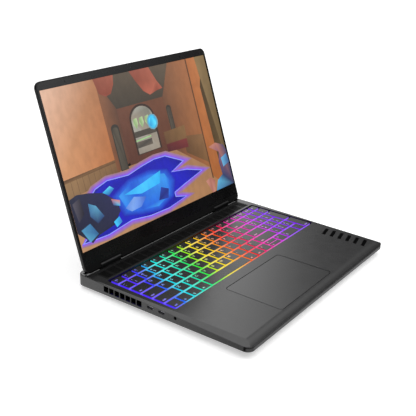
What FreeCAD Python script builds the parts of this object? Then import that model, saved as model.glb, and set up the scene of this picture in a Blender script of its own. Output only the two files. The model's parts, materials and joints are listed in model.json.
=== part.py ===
import FreeCAD, Part
import math
import os

# A 16-inch gaming laptop with its lid open, in millimetres.
# X is the user's right, Y runs from the front edge to the back, and the table is z = 0.
# Shapes are drawn with the front edge at y = FRONT_Y. export() moves them back by ORIGIN_Y,
# so that the origin lies under the middle of the open laptop's box.

V = FreeCAD.Vector

# Base unit
WIDTH = 356.5
FRONT_Y = -2.9
REAR_Y = 268.0
CORNER_R = 9.0
DECK_Z = 20.0                   # top of the deck, above the table
FRONT_WALL = 11.0               # deck to the case's lower joint at y = 0
REAR_WALL = 15.6                # and at the rear edge: the base is a wedge
COVER_DEPTH = 3.2               # bottom cover, below the wall's lower edge
DECK_T = 1.5
WALL = 2.2
COVER_T = 1.5
COVER_TAPER = 12.0              # how far the bottom cover draws in
SHOULDER_L, SHOULDER_DROP = 12.5, 5.0     # the deck's curve down to the front edge
BEVEL_W, BEVEL_DROP = 9.0, 4.8            # side bevels at the front edge
BEVEL_END_Y = 250.0                       # where they have narrowed to nothing
RIM_STEP_Y, RIM_END_Y = 95.0, 150.0       # thick rim under the bevels, thinner over the ports

# Screen and lid. v runs up the open lid from the picture's lower edge, and w runs back
# from the bezel's face.
SCREEN_W = 344.7
SCREEN_H = 215.4
LID_W = 352.5
LID_BOTTOM_V = -29.4
LID_TOP_V = SCREEN_H + 11.6
LID_T = 5.4
LID_SKIN = 1.2
LID_RIM = 1.6
LID_CORNER_R = 9.5
LID_EDGE_R = 1.4                # rounding round the lid's back
CHIN_V = -18.2                  # where the black bezel ends and the hinge cover starts
BEZEL_T = 0.8
LID_TILT = 71.3                 # degrees of the lid above the horizontal, seen from behind
CLOSED_GAP = 0.6                # bezel to deck with the lid shut

# Hinge
HINGE_W = 2.7                   # axis behind the bezel's face
HINGE_V = -25.37
HINGE_Y = 256.52
HINGE_Z = DECK_Z + HINGE_W + CLOSED_GAP
BARREL_R = 2.9
BARREL_L = 38.0
BARREL_X = 128.0                # middle of each hinge
SHAFT_R = 1.1
SHAFT_CLEARANCE = 0.05
SLOT_GAP = 0.6                  # lid to barrel end
SLOT_RISE = 3.3                 # lid slot above the axis
ARM_W = 3.6
TROUGH_R = 5.6
TROUGH_X = 175.0

# Keyboard. A cell is a key with half a gap on each side.
KEY_GAP = 3.0
PITCH_X = 18.55
PITCH_Y = 18.95
CELLS_X = -166.8
CELLS_Y = 111.2
MAIN_W = 268.0
PAD_PITCH = 16.5
TOP_ROW_D = 15.2
SPACE_W = 5 * PITCH_X
KEY_H = 3.0
KEY_WALL = 1.0
KEY_TOP_T = 1.2
KEY_R = 1.3
KEY_TRAVEL = 1.5
ARROW_SPLIT = 1.3
WELL_MARGIN = 2.4               # deck opening beyond the cells at the sides
WELL_REAR = 2.2
WELL_R = 3.5
LIGHT_TOP_Z = DECK_Z - KEY_H - KEY_TRAVEL - 0.3
PLATE_T = 0.8

# Touchpad
PAD_X0, PAD_X1 = -89.5, 37.6
PAD_Y0, PAD_Y1 = 10.0, 93.2
PAD_R = 4.0
PAD_SEAM = 0.5
PAD_DROP = 0.12

# Deck grille behind the keys
GRILLE_X = 165.0
GRILLE_Y0, GRILLE_Y1 = 226.4, 247.0
GRILLE_T = 1.2
GRILLE_BLOCKS = 20
GRILLE_SLOTS = 7

# Side openings, as distances from the front edge and below the deck
VENT_COUNT = 7
VENT_Y = 220.3
VENT_PITCH = 9.3
VENT_W = 8.2
VENT_TOP = 2.3
VENT_H = 8.2
PORT_DROP = 5.6
USB_C_Y = (142.2, 124.3)
JACK_Y = 103.4
JACK_R = 1.8
USB_A_Y = (128.0, 150.0)
USB_A_Z = 10.45
REAR_PORT_Z = 10.9
NETWORK_X, VIDEO_X, INLET_X = 22.0, -3.0, -24.0

# Cooling
FAN_X, FAN_Y = 106.0, 206.0
FAN_R = 32.5
FAN_HOUSING = 72.0
FAN_Z0, FAN_Z1 = 5.0, 13.0
FAN_SKIN = 0.8
FAN_HUB_R = 11.0
FAN_AXLE_R = 1.5
FAN_BLADES = 28
FAN_INTAKE_R = 22.0
FIN_PITCH = 3.0
FIN_X0, FIN_X1 = 66.0, 146.0
FIN_Y0, FIN_Y1 = 245.0, 262.0
FIN_Z0 = 5.8
BOARD_Z = 7.2
BOARD_T = 1.2
CHIP_T = 1.8
PIPE_W, PIPE_T = 6.0, 2.4
BATTERY_Z = 7.2

# Fasteners
SCREW_R = 1.25
SCREW_HEAD_R = 2.4
SCREW_HEAD_T = 1.2
BOSS_R = 2.8
BOSS_LIFT = 0.8                 # bosses start this far above the cover's floor
SCREW_L = 9.0
SCREWS = [(-162, 19.5), (162, 19.5), (-163, 92), (163, 92), (-163, 232), (163, 232),
          (-110, 96.4), (70, 96.4), (-152.5, 249), (152.5, 249)]

# The open lid's upper rear edge is the rearmost point of the whole laptop.
tilt = math.radians(LID_TILT)
OPEN_DEPTH = (HINGE_Y + (LID_TOP_V - LID_EDGE_R - HINGE_V) * math.cos(tilt)
              + (LID_T - LID_EDGE_R - HINGE_W) * math.sin(tilt) + LID_EDGE_R)
ORIGIN_Y = (OPEN_DEPTH + FRONT_Y) / 2
WEDGE = math.degrees(math.atan((REAR_WALL - FRONT_WALL) / REAR_Y))


def box(x0, x1, y0, y1, z0, z1):
    return Part.makeBox(x1 - x0, y1 - y0, z1 - z0, V(x0, y0, z0))


def parallel_edges(shape, direction):
    """Straight edges of shape along a direction."""
    found = []
    for edge in shape.Edges:
        span = edge.Vertexes[-1].Point - edge.Vertexes[0].Point
        if span.Length > 0 and abs(span.normalize().dot(direction)) > 0.999:
            found.append(edge)
    return found


def rounded(x0, x1, y0, y1, z0, z1, r):
    """A box with its four upright edges rounded."""
    plain = box(x0, x1, y0, y1, z0, z1)
    return plain.makeFillet(r, parallel_edges(plain, V(0, 0, 1)))


def level_edges(shape, z):
    """Edges of shape that lie at height z."""
    return [e for e in shape.Edges if all(abs(p.Point.z - z) < 1e-6 for p in e.Vertexes)]


def rod_x(x0, x1, y, z, r):
    return Part.makeCylinder(r, x1 - x0, V(x0, y, z), V(1, 0, 0))


def rod_y(x, y0, y1, z, r):
    return Part.makeCylinder(r, y1 - y0, V(x, y0, z), V(0, 1, 0))


def rod_z(x, y, z0, z1, r):
    return Part.makeCylinder(r, z1 - z0, V(x, y, z0))


def group(shapes):
    return Part.makeCompound(shapes)


def fuse(shapes):
    return shapes[0].multiFuse(shapes[1:]).removeSplitter()


def mirror_x(shape):
    return shape.mirror(V(0, 0, 0), V(1, 0, 0))


def lid_box(x0, x1, v0, v1, w0, w1):
    """A box in the lid's own frame: x, v up the lid, w behind the bezel's face."""
    return box(x0, x1, v0, v1, -w1, -w0)


def stand_lid(shape):
    """Turns a shape from the lid's own frame to the open lid's place."""
    placed = shape.copy()
    placed.translate(V(0, -HINGE_V, HINGE_W))
    placed.rotate(V(0, 0, 0), V(1, 0, 0), LID_TILT)
    placed.translate(V(0, HINGE_Y, HINGE_Z))
    return placed


def wedge(shape):
    """Turns a shape drawn below z = 0 so that z = 0 becomes the wedge's joint plane."""
    placed = shape.copy()
    placed.rotate(V(0, 0, 0), V(1, 0, 0), -WEDGE)
    placed.translate(V(0, 0, DECK_Z - FRONT_WALL))
    return placed


def joint_z(y):
    """Height of the joint between bottom cover and top case at a distance from the front."""
    return DECK_Z - FRONT_WALL - y * math.tan(math.radians(WEDGE))


def floor_z(y):
    """Height of the bottom cover's inner floor."""
    return joint_z(y) - COVER_DEPTH + COVER_T


def below_joint(depth=0.0):
    """Everything under the joint plane, or under a plane that lies deeper."""
    return wedge(box(-WIDTH, WIDTH, -50, REAR_Y + 50, -40, -depth))


# ---- Keyboard ----

def key_row(name, widths, row, x0):
    """Cells of one row, left to right: group, x0, x1, y0, y1."""
    cells = []
    for width in widths:
        cells.append((name, x0, x0 + width, CELLS_Y + row * PITCH_Y, CELLS_Y + (row + 1) * PITCH_Y))
        x0 += width
    return cells


def main_cells():
    """The letter block. The last key of a row takes what is left of the block."""
    cells = []
    number_first = 15.8
    tab_w = MAIN_W - 13 * PITCH_X
    caps_w = 29.6
    shift_w = 38.4
    ctrl_w = 19.4
    arrow_w = MAIN_W - ctrl_w - 6 * PITCH_X - SPACE_W - PITCH_X
    cells += key_row("number_keys", [number_first] + 12 * [PITCH_X], 4, CELLS_X)
    backspace_x = CELLS_X + number_first + 12 * PITCH_X
    cells += key_row("backspace_key", [MAIN_W + CELLS_X - backspace_x], 4, backspace_x)
    cells += key_row("upper_letter_keys", [tab_w] + 13 * [PITCH_X], 3, CELLS_X)
    cells += key_row("home_letter_keys", [caps_w] + 11 * [PITCH_X], 2, CELLS_X)
    enter_x = CELLS_X + caps_w + 11 * PITCH_X
    cells += key_row("enter_key", [MAIN_W + CELLS_X - enter_x], 2, enter_x)
    right_shift_w = MAIN_W - shift_w - 10 * PITCH_X
    cells += key_row("lower_letter_keys", [shift_w] + 10 * [PITCH_X] + [right_shift_w], 1, CELLS_X)
    cells += key_row("bottom_keys", [ctrl_w] + 3 * [PITCH_X], 0, CELLS_X)
    space_x = CELLS_X + ctrl_w + 3 * PITCH_X
    cells += key_row("space_bar", [SPACE_W], 0, space_x)
    cells += key_row("bottom_keys", 2 * [PITCH_X], 0, space_x + SPACE_W)
    arrows_x = space_x + SPACE_W + 2 * PITCH_X
    left, up_down, right = key_row("arrow_keys", [PITCH_X, arrow_w, PITCH_X], 0, arrows_x)
    middle = (up_down[3] + up_down[4]) / 2
    lap = (KEY_GAP - ARROW_SPLIT) / 2
    down = up_down[:4] + (middle + lap,)
    up = up_down[:3] + (middle - lap, up_down[4])
    return cells + [left, down, up, right]


def pad_cells():
    """The number pad, with its tall plus and enter keys and its wide zero."""
    name = "number_pad_keys"
    x0 = CELLS_X + MAIN_W
    last_x = x0 + 3 * PAD_PITCH
    cells = key_row(name, [2 * PAD_PITCH, PAD_PITCH], 0, x0)
    for row in (1, 2, 3):
        cells += key_row(name, 3 * [PAD_PITCH], row, x0)
    cells += key_row(name, 4 * [PAD_PITCH], 4, x0)
    for row in (0, 2):
        low = CELLS_Y + row * PITCH_Y
        cells.append((name, last_x, last_x + PAD_PITCH, low, low + 2 * PITCH_Y))
    return cells


def function_cells():
    """The shallow row at the back. Its last key is the power key."""
    y0 = CELLS_Y + 5 * PITCH_Y
    pitch = MAIN_W / 14
    edges = [CELLS_X + i * pitch for i in range(15)]
    edges += [CELLS_X + MAIN_W + i * PAD_PITCH for i in range(1, 5)]
    names = 17 * ["function_keys"] + ["power_key"]
    return [(name, a, b, y0, y0 + TOP_ROW_D) for name, a, b in zip(names, edges, edges[1:])]


def key_cap(x0, x1, y0, y1):
    """One hollow keycap, flush with the deck, with a fine chamfer round its top."""
    half = KEY_GAP / 2
    low = DECK_Z - KEY_H
    cap = rounded(x0 + half, x1 - half, y0 + half, y1 - half, low, DECK_Z, KEY_R)
    cap = cap.makeChamfer(0.3, level_edges(cap, DECK_Z))
    side = half + KEY_WALL
    return cap.cut(box(x0 + side, x1 - side, y0 + side, y1 - side, low - 1, DECK_Z - KEY_TOP_T))


def key_dome(x0, x1, y0, y1):
    dome_r = 2.2
    return rod_z((x0 + x1) / 2, (y0 + y1) / 2, LIGHT_TOP_Z, LIGHT_TOP_Z + 2.0, dome_r)


def keyboard_parts():
    cells = main_cells() + pad_cells() + function_cells()
    parts = {}
    for name, *cell in cells:
        parts.setdefault(name, []).append(key_cap(*cell))
    parts = {name: group(caps) for name, caps in parts.items()}
    parts["key_domes"] = group([key_dome(*cell) for name, *cell in cells])
    x0, x1, y0, y1 = well_box()
    edge = 1.0
    light_low = LIGHT_TOP_Z - PLATE_T
    guide = box(x0 - edge, x1 + edge, y0 - edge, y1 + edge, light_low, LIGHT_TOP_Z)
    parts["light_guide"] = guide
    parts["keyboard_plate"] = box(x0 - edge, x1 + edge, y0 - edge, y1 + edge,
                                  light_low - PLATE_T, light_low)
    return parts


def well_box():
    """The keyboard opening in the deck: x0, x1, y0, y1."""
    right = CELLS_X + MAIN_W + 4 * PAD_PITCH
    back = CELLS_Y + 5 * PITCH_Y + TOP_ROW_D
    return (CELLS_X - WELL_MARGIN, right + WELL_MARGIN,
            CELLS_Y - WELL_MARGIN / 2, back + WELL_REAR)


# ---- Base shells ----

def plan(inset, z0, z1, r=CORNER_R):
    """The base outline drawn in by an inset, between two heights."""
    half = WIDTH / 2 - inset
    return rounded(-half, half, FRONT_Y + inset, REAR_Y - inset, z0, z1, r)


def port_slot(y, z, width, height, corner_r, side):
    """An opening with rounded corners through a side wall, for a port centred at y and z."""
    x0, x1 = sorted((side * (WIDTH / 2 + 1), side * (WIDTH / 2 - WALL - 1)))
    plain = box(x0, x1, y - width / 2, y + width / 2, z - height / 2, z + height / 2)
    return plain.makeFillet(corner_r, parallel_edges(plain, V(1, 0, 0)))


def wall_openings():
    """Vents and port openings in the side and rear walls."""
    cuts = []
    top = DECK_Z - VENT_TOP
    for side in (-1, 1):
        x0, x1 = sorted((side * (WIDTH / 2 + 1), side * (WIDTH / 2 - WALL - 1)))
        for i in range(VENT_COUNT):
            y1 = VENT_Y - i * VENT_PITCH
            vent = box(x0, x1, y1 - VENT_W, y1, top - VENT_H, top)
            cuts.append(vent.makeFillet(0.8, parallel_edges(vent, V(1, 0, 0))))
    for y in USB_C_Y:
        cuts.append(port_slot(y, DECK_Z - PORT_DROP, 10.4, 4.2, 1.9, -1))
    for y in USB_A_Y:
        cuts.append(port_slot(y, USB_A_Z, 14.4, 6.8, 0.4, 1))
    jack_cut = rod_x(-WIDTH / 2 - 1, -WIDTH / 2 + WALL + 1, JACK_Y, DECK_Z - PORT_DROP, JACK_R + 0.4)
    cuts.append(jack_cut)
    back0, back1 = REAR_Y - WALL - 1, REAR_Y + 1
    for x, w, h in ((NETWORK_X, 14.4, 10.6), (VIDEO_X, 16.0, 6.4), (INLET_X, 9.0, 9.0)):
        cuts.append(box(x - w / 2, x + w / 2, back0, back1, REAR_PORT_Z - h / 2 + 0.6,
                        REAR_PORT_Z + h / 2))
    for side in (-1, 1):
        for i in range(int((FIN_X1 - FIN_X0) / (1.5 * FIN_PITCH))):
            x = side * (FIN_X0 + 2 + i * 1.5 * FIN_PITCH)
            x0, x1 = sorted((x, x + side * FIN_PITCH))
            cuts.append(box(x0, x1, back0, back1, FIN_Z0 + 1, FAN_Z1))
    return cuts


def front_groove():
    """The narrow line along the front wall."""
    z1 = DECK_Z - SHOULDER_DROP - 0.4
    z0 = z1 - 1.0
    ring = plan(-1, z0, z1).cut(plan(0.7, z0 - 1, z1 + 1, CORNER_R - 0.7))
    return ring.common(box(-WIDTH, WIDTH, FRONT_Y - 2, FRONT_Y + 7, z0, z1))


def front_shoulder():
    """What is cut from the deck to curve it down to the front edge."""
    r = (SHOULDER_L ** 2 + SHOULDER_DROP ** 2) / (2 * SHOULDER_DROP)
    y = FRONT_Y + SHOULDER_L
    block = box(-WIDTH, WIDTH, FRONT_Y - 1, y, DECK_Z - r, DECK_Z + 1)
    return block.cut(rod_x(-WIDTH, WIDTH, y, DECK_Z - r, r))


def side_bevel(side):
    """What is cut from a side of the deck: a flat facet that widens towards the front."""
    inner = WIDTH / 2 - BEVEL_W
    outer = WIDTH / 2 + 1
    low = DECK_Z - BEVEL_DROP * (outer - inner) / BEVEL_W
    corners = [V(side * inner, FRONT_Y, DECK_Z), V(side * outer, FRONT_Y, low),
               V(side * outer, FRONT_Y, DECK_Z + 1), V(side * inner, FRONT_Y, DECK_Z + 1)]
    face = Part.Face(Part.makePolygon(corners + corners[:1]))
    return face.extrude(V(side * BEVEL_W, BEVEL_END_Y - FRONT_Y, 0))


def rims():
    """Solid metal under the front curve and the side bevels."""
    half = WIDTH / 2 - WALL
    top = DECK_Z - DECK_T
    low = DECK_Z - SHOULDER_DROP - DECK_T
    blocks = [box(-half, half, FRONT_Y + WALL, FRONT_Y + SHOULDER_L + 0.9, low, top)]
    for side in (-1, 1):
        x0, x1 = sorted((side * half, side * (WIDTH / 2 - BEVEL_W - 1)))
        blocks.append(box(x0, x1, FRONT_Y + WALL, RIM_STEP_Y, low, top))
        blocks.append(box(x0, x1, RIM_STEP_Y, RIM_END_Y, DECK_Z - 2.8, top))
    return blocks


def inlay_bars(z0, z1):
    """Slanted bars let into the right palm rest."""
    bars = []
    slant = 5.0
    length, width, pitch = 22.0, 5.4, 12.6
    for i in range(6):
        x, y = 141.0, 10.5 + i * pitch
        corners = [V(x, y, z0), V(x + length, y + slant, z0),
                   V(x + length, y + slant + width, z0), V(x, y + width, z0), V(x, y, z0)]
        face = Part.Face(Part.makePolygon(corners))
        bars.append(face.extrude(V(0, 0, z1 - z0)))
    return bars


def top_case():
    top = DECK_Z - DECK_T
    low = DECK_Z - REAR_WALL - 1
    shell = plan(0, low, DECK_Z)
    shell = shell.makeFillet(0.9, level_edges(shell, DECK_Z))
    shell = shell.cut(plan(WALL, low - 1, top, CORNER_R - WALL)).cut(below_joint())
    x0, x1, y0, y1 = well_box()
    lip = 1.2
    well_wall = rounded(x0 - lip, x1 + lip, y0 - lip, y1 + lip, LIGHT_TOP_Z, top, WELL_R + lip)
    half = WIDTH / 2 - WALL
    trough_block = box(-half, half, HINGE_Y - 7.5, HINGE_Y + 7.5, DECK_Z - 4.2, top)
    bosses = [rod_z(x, y, floor_z(y) + BOSS_LIFT, top, BOSS_R) for x, y in SCREWS]
    shell = fuse([shell, well_wall, trough_block] + rims() + bosses)
    seam = PAD_SEAM
    cuts = [rounded(x0, x1, y0, y1, LIGHT_TOP_Z - 1, DECK_Z + 1, WELL_R),
            rounded(PAD_X0 - seam, PAD_X1 + seam, PAD_Y0 - seam, PAD_Y1 + seam,
                    top - 1, DECK_Z + 1, PAD_R + seam),
            rounded(-GRILLE_X, GRILLE_X, GRILLE_Y0, GRILLE_Y1, DECK_Z - GRILLE_T, DECK_Z + 1, 1.0),
            box(-GRILLE_X + 3, GRILLE_X - 3, GRILLE_Y0 + 2, GRILLE_Y1 - 2, top - 1, DECK_Z),
            rod_x(-TROUGH_X, TROUGH_X, HINGE_Y, HINGE_Z, TROUGH_R)]
    cuts += [knuckle_tab(side) for side in (-1, 1)]
    cuts += [front_shoulder(), front_groove(), side_bevel(-1), side_bevel(1)]
    cuts += inlay_bars(DECK_Z - 0.4, DECK_Z + 1)
    cuts += [rod_z(x, y, 0, floor_z(y) + BOSS_LIFT + SCREW_L + 0.6, SCREW_R) for x, y in SCREWS]
    return shell.cut(cuts + wall_openings())


def outline_wire(inset, z, r):
    """A level rounded rectangle of the base, drawn in by an inset."""
    half = WIDTH / 2 - inset
    slab = rounded(-half, half, FRONT_Y + inset, REAR_Y - inset, z, z + 1, r)
    return Part.Wire(Part.sortEdges(level_edges(slab, z))[0])


def bottom_cover():
    """A shallow pan with leaning sides, drawn flat and then turned to the wedge."""
    lean = COVER_TAPER / COVER_DEPTH
    outer = Part.makeLoft([outline_wire(COVER_TAPER, -COVER_DEPTH, CORNER_R),
                           outline_wire(0, 0, CORNER_R)], True, True)
    inner_low = COVER_T - COVER_DEPTH
    inner = Part.makeLoft([outline_wire(COVER_TAPER + WALL, inner_low, CORNER_R),
                           outline_wire(WALL + COVER_TAPER - lean * COVER_T, 0.01, CORNER_R)],
                          True, True)
    outer, inner = wedge(outer), wedge(inner)
    pads = [rod_z(x, y, floor_z(y) - 1, floor_z(y) + BOSS_LIFT, SCREW_HEAD_R + 1.0).common(outer)
            for x, y in SCREWS]
    pan = fuse([outer.cut(inner)] + pads)
    cuts = [rod_z(x, y, 0, screw_head_top(y), SCREW_HEAD_R) for x, y in SCREWS]
    cuts += [rod_z(x, y, 0, DECK_Z / 2, SCREW_R) for x, y in SCREWS]
    for side in (-1, 1):
        for i in range(9):
            x = side * FAN_X + (i - 4) * 5.0
            reach = math.sqrt(FAN_INTAKE_R ** 2 - ((i - 4) * 5.0) ** 2)
            cuts.append(box(x - 1.2, x + 1.2, FAN_Y - reach, FAN_Y + reach, 0, FAN_Z0))
    return pan.cut(cuts)


def screw_head_top(y):
    return floor_z(y) - COVER_T + SCREW_HEAD_T


def feet():
    """A long foot at the back and two taller ones at the front, cut to the wedge."""
    strips = [rounded(-130, 130, 236, 246, 0, DECK_Z / 2, 4.0)]
    for side in (-1, 1):
        x0, x1 = sorted((side * 95, side * 140))
        strips.append(rounded(x0, x1, 20, 28, 0, DECK_Z / 2, 3.5))
    return group([strip.common(below_joint(COVER_DEPTH)) for strip in strips])


def case_screws():
    screws = []
    for x, y in SCREWS:
        top = screw_head_top(y)
        low = top - SCREW_HEAD_T + 0.2
        head = rod_z(x, y, low, top, SCREW_HEAD_R)
        shank = rod_z(x, y, top, floor_z(y) + BOSS_LIFT + SCREW_L, SCREW_R)
        cross = [box(x - 1.3, x + 1.3, y - 0.3, y + 0.3, low - 1, low + 0.7),
                 box(x - 0.3, x + 0.3, y - 1.3, y + 1.3, low - 1, low + 0.7)]
        screws.append(fuse([head, shank]).cut(cross))
    return group(screws)


def rear_grille():
    """The long strip of fine slots behind the keys, in blocks."""
    plate = rounded(-GRILLE_X, GRILLE_X, GRILLE_Y0, GRILLE_Y1, DECK_Z - GRILLE_T, DECK_Z, 1.0)
    block = 2 * GRILLE_X / GRILLE_BLOCKS
    depth = (GRILLE_Y1 - GRILLE_Y0 - 4.0) / GRILLE_SLOTS
    slots = []
    for i in range(GRILLE_BLOCKS):
        x = -GRILLE_X + i * block
        for j in range(GRILLE_SLOTS):
            y = GRILLE_Y0 + 2.0 + j * depth
            margin = 3.2 if i in (0, GRILLE_BLOCKS - 1) else 1.2
            slots.append(box(x + margin, x + block - margin, y + 0.6, y + depth - 0.6,
                             DECK_Z - 3, DECK_Z + 1))
    return plate.cut(slots)


def touchpad():
    top = DECK_Z - PAD_DROP
    glass = rounded(PAD_X0, PAD_X1, PAD_Y0, PAD_Y1, top - 1.0, top, PAD_R)
    board = box(PAD_X0 + 4, PAD_X1 - 4, PAD_Y0 + 4, PAD_Y1 - 4, top - 1.8, top - 1.0)
    return fuse([glass, board])


def touchpad_frame():
    """The bracket under the touchpad, hung from the deck by its two side rails."""
    x0, x1, y0, y1 = PAD_X0 - 5, PAD_X1 + 5, PAD_Y0 + 1, PAD_Y1 - 1
    low, top = DECK_Z - 4.4, DECK_Z - DECK_T
    tray = box(x0, x1, y0, y1, low, low + 0.8)
    rails = [box(x0, x0 + 3.5, y0, y1, low, top), box(x1 - 3.5, x1, y0, y1, low, top)]
    click_switch = box(-30, -24, PAD_Y0 + 6, PAD_Y0 + 12, low + 0.8, low + 1.6)
    return fuse([tray, click_switch] + rails)


# ---- Hinges ----

def knuckle_tab(side):
    """The neck that carries a hinge barrel down through the deck."""
    half = BARREL_L / 2
    x = side * BARREL_X
    return box(x - half, x + half, HINGE_Y - 2.4, HINGE_Y + 2.4, DECK_Z - 5, HINGE_Z)


def hinge_knuckle(side):
    half = BARREL_L / 2
    x = side * BARREL_X
    barrel = rod_x(x - half, x + half, HINGE_Y, HINGE_Z, BARREL_R)
    neck = knuckle_tab(side).common(box(-WIDTH, WIDTH, 0, REAR_Y, DECK_Z - 4.2, HINGE_Z))
    leaf = box(x - half, x + half, HINGE_Y - 15, HINGE_Y + 2.4, DECK_Z - 5.4, DECK_Z - 4.2)
    body = fuse([barrel, neck, leaf])
    bore = rod_x(x - half - 1, x + half + 1, HINGE_Y, HINGE_Z, SHAFT_R + SHAFT_CLEARANCE)
    return body.cut(bore)


def hinge_reach():
    """Half the length from arm to arm across one lid slot."""
    return BARREL_L / 2 + SLOT_GAP + ARM_W


def hinge_shaft(side):
    x = side * BARREL_X
    return stand_lid(rod_x(x - hinge_reach(), x + hinge_reach(), HINGE_V, -HINGE_W, SHAFT_R))


def lid_hinge_bracket(side):
    """The steel plate behind the panel, with an arm on each side of the lid slot."""
    x = side * BARREL_X
    reach = hinge_reach()
    back = LID_T - LID_SKIN
    slot_top = HINGE_V + SLOT_RISE
    plate = lid_box(x - reach, x + reach, slot_top, 25, back - 0.7, back)
    arms = [lid_box(a, a + ARM_W, LID_BOTTOM_V + LID_RIM, slot_top + 2, BEZEL_T, back)
            for a in (x - reach, x + reach - ARM_W)]
    shaft = rod_x(x - reach - 1, x + reach + 1, HINGE_V, -HINGE_W, SHAFT_R)
    return stand_lid(fuse([plate] + arms).cut(shaft))


# ---- Lid ----

def lid_slab(inset, w0, w1, r):
    half = LID_W / 2 - inset
    return rounded(-half, half, LID_BOTTOM_V + inset, LID_TOP_V - inset, -w1, -w0, r)


def lid_slots(w0, w1):
    """The cuts at the lid's lower edge that the hinge barrels stand in."""
    half = BARREL_L / 2 + SLOT_GAP
    return [lid_box(side * BARREL_X - half, side * BARREL_X + half, LID_BOTTOM_V - 1,
                    HINGE_V + SLOT_RISE, w0, w1) for side in (-1, 1)]


def lid_cover():
    slab = lid_slab(0, 0, LID_T, LID_CORNER_R)
    slab = slab.makeFillet(LID_EDGE_R, level_edges(slab, -LID_T))
    slab = slab.makeChamfer(0.3, level_edges(slab, 0))
    hollow = lid_slab(LID_RIM, -1, LID_T - LID_SKIN, LID_CORNER_R - LID_RIM)
    finger_notch = lid_box(-8.75, 8.75, LID_TOP_V - LID_RIM - 1, LID_TOP_V + 1, -1, 1.2)
    return stand_lid(slab.cut([hollow, finger_notch] + lid_slots(-1, LID_T + 1)))


def screen_bezel():
    frame = lid_slab(LID_RIM, 0, BEZEL_T, LID_CORNER_R - LID_RIM)
    half = SCREEN_W / 2
    below_chin = lid_box(-LID_W, LID_W, LID_BOTTOM_V - 1, CHIN_V, -1, BEZEL_T + 1)
    picture = lid_box(-half, half, 0, SCREEN_H, -1, BEZEL_T + 1)
    lens_hole = rod_z(0, SCREEN_H + 5.3, -BEZEL_T - 1, 1, 1.3)
    microphone_holes = [rod_z(x, SCREEN_H + 5.3, -BEZEL_T - 1, 1, 0.4) for x in (-28, 28)]
    return stand_lid(frame.cut([below_chin, picture, lens_hole] + microphone_holes))


def hinge_cover():
    """The strip below the bezel, between and outside the hinges."""
    strip = lid_slab(LID_RIM, 0, LID_T - LID_SKIN - 0.7, LID_CORNER_R - LID_RIM)
    above_chin = lid_box(-LID_W, LID_W, CHIN_V, LID_TOP_V + 1, -1, LID_T)
    reach = hinge_reach()
    bays = [lid_box(side * BARREL_X - reach, side * BARREL_X + reach, LID_BOTTOM_V - 1,
                    HINGE_V + SLOT_RISE, BEZEL_T, LID_T) for side in (-1, 1)]
    arm_steps = [lid_box(side * BARREL_X - reach, side * BARREL_X + reach, LID_BOTTOM_V - 1,
                         HINGE_V + SLOT_RISE + 2, BEZEL_T, LID_T) for side in (-1, 1)]
    return stand_lid(strip.cut([above_chin] + bays + arm_steps + lid_slots(-1, LID_T)))


def lcd_panel():
    return stand_lid(lid_box(-173.6, 173.6, -12, SCREEN_H + 2.6, BEZEL_T, BEZEL_T + 0.8))


def backlight_unit():
    return stand_lid(lid_box(-173.6, 173.6, -14, SCREEN_H + 2.6, BEZEL_T + 0.8, LID_T - LID_SKIN - 0.9))


def camera_module():
    middle = SCREEN_H + 5.3
    board = lid_box(-16, 16, middle - 2.2, middle + 2.2, 1.4, 3.0)
    lens = rod_z(0, middle, -1.6, -0.3, 1.25)
    return stand_lid(fuse([board, lens]))


def microphones():
    middle = SCREEN_H + 5.3
    return group([stand_lid(lid_box(x - 4, x + 4, middle - 2, middle + 2, BEZEL_T, 2.0))
                  for x in (-28, 28)])


def wifi_antennas():
    middle = SCREEN_H + 5.3
    return group([stand_lid(lid_box(x - 18, x + 18, middle - 2.2, middle + 2.2, BEZEL_T, 1.4))
                  for x in (-90, 90)])


def lid_bumpers():
    """Rubber pads on the bezel's face that meet the deck when the lid is shut."""
    pads = []
    for x in (-120, 120):
        pads.append(lid_box(x - 8, x + 8, SCREEN_H + 3.5, SCREEN_H + 6.5, -0.4, 0))
        pads.append(lid_box(x - 8, x + 8, CHIN_V + 4.0, CHIN_V + 7.0, -0.4, 0))
    return group([stand_lid(pad) for pad in pads])


def display_cable():
    back = LID_T - LID_SKIN
    return stand_lid(lid_box(-62, -50, LID_BOTTOM_V + LID_RIM + 1, 8, back - 0.6, back - 0.1))


# ---- Inside the base ----

def motherboard():
    top = BOARD_Z + BOARD_T
    wing = box(-158, 158, 100.5, 166, BOARD_Z, top)
    spine = box(-66, 66, 166, 240, BOARD_Z, top)
    rear = box(-40, 40, 240, 250, BOARD_Z, top)
    stacks = [rod_z(x, y, floor_z(y) + 0.1, BOARD_Z, 2.2)
              for x in (-150, 0, 150) for y in (105, 160)]
    return fuse([wing, spine, rear] + stacks)


def processors():
    base = BOARD_Z + BOARD_T
    return group([box(-44, -10, 184, 218, base, base + CHIP_T),
                  box(12, 52, 181, 221, base, base + CHIP_T)])


def heat_pipes():
    """Two flat pipes over each chip that run back and then out along the fins."""
    low = BOARD_Z + BOARD_T + CHIP_T
    high = low + PIPE_T
    step = PIPE_W + 1
    pipes = []
    for side, first_x in ((-1, -33), (1, 34)):
        for i in range(2):
            x = first_x + side * i * step
            y = FIN_Y0 + 0.5 + (1 - i) * step
            x0, x1 = sorted((x - side * PIPE_W / 2, side * (FIN_X1 - 2)))
            leg = box(x - PIPE_W / 2, x + PIPE_W / 2, 190, y + PIPE_W, low, high)
            across = box(x0, x1, y, y + PIPE_W, low, high)
            pipes.append(fuse([leg, across]))
    return group(pipes)


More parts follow.
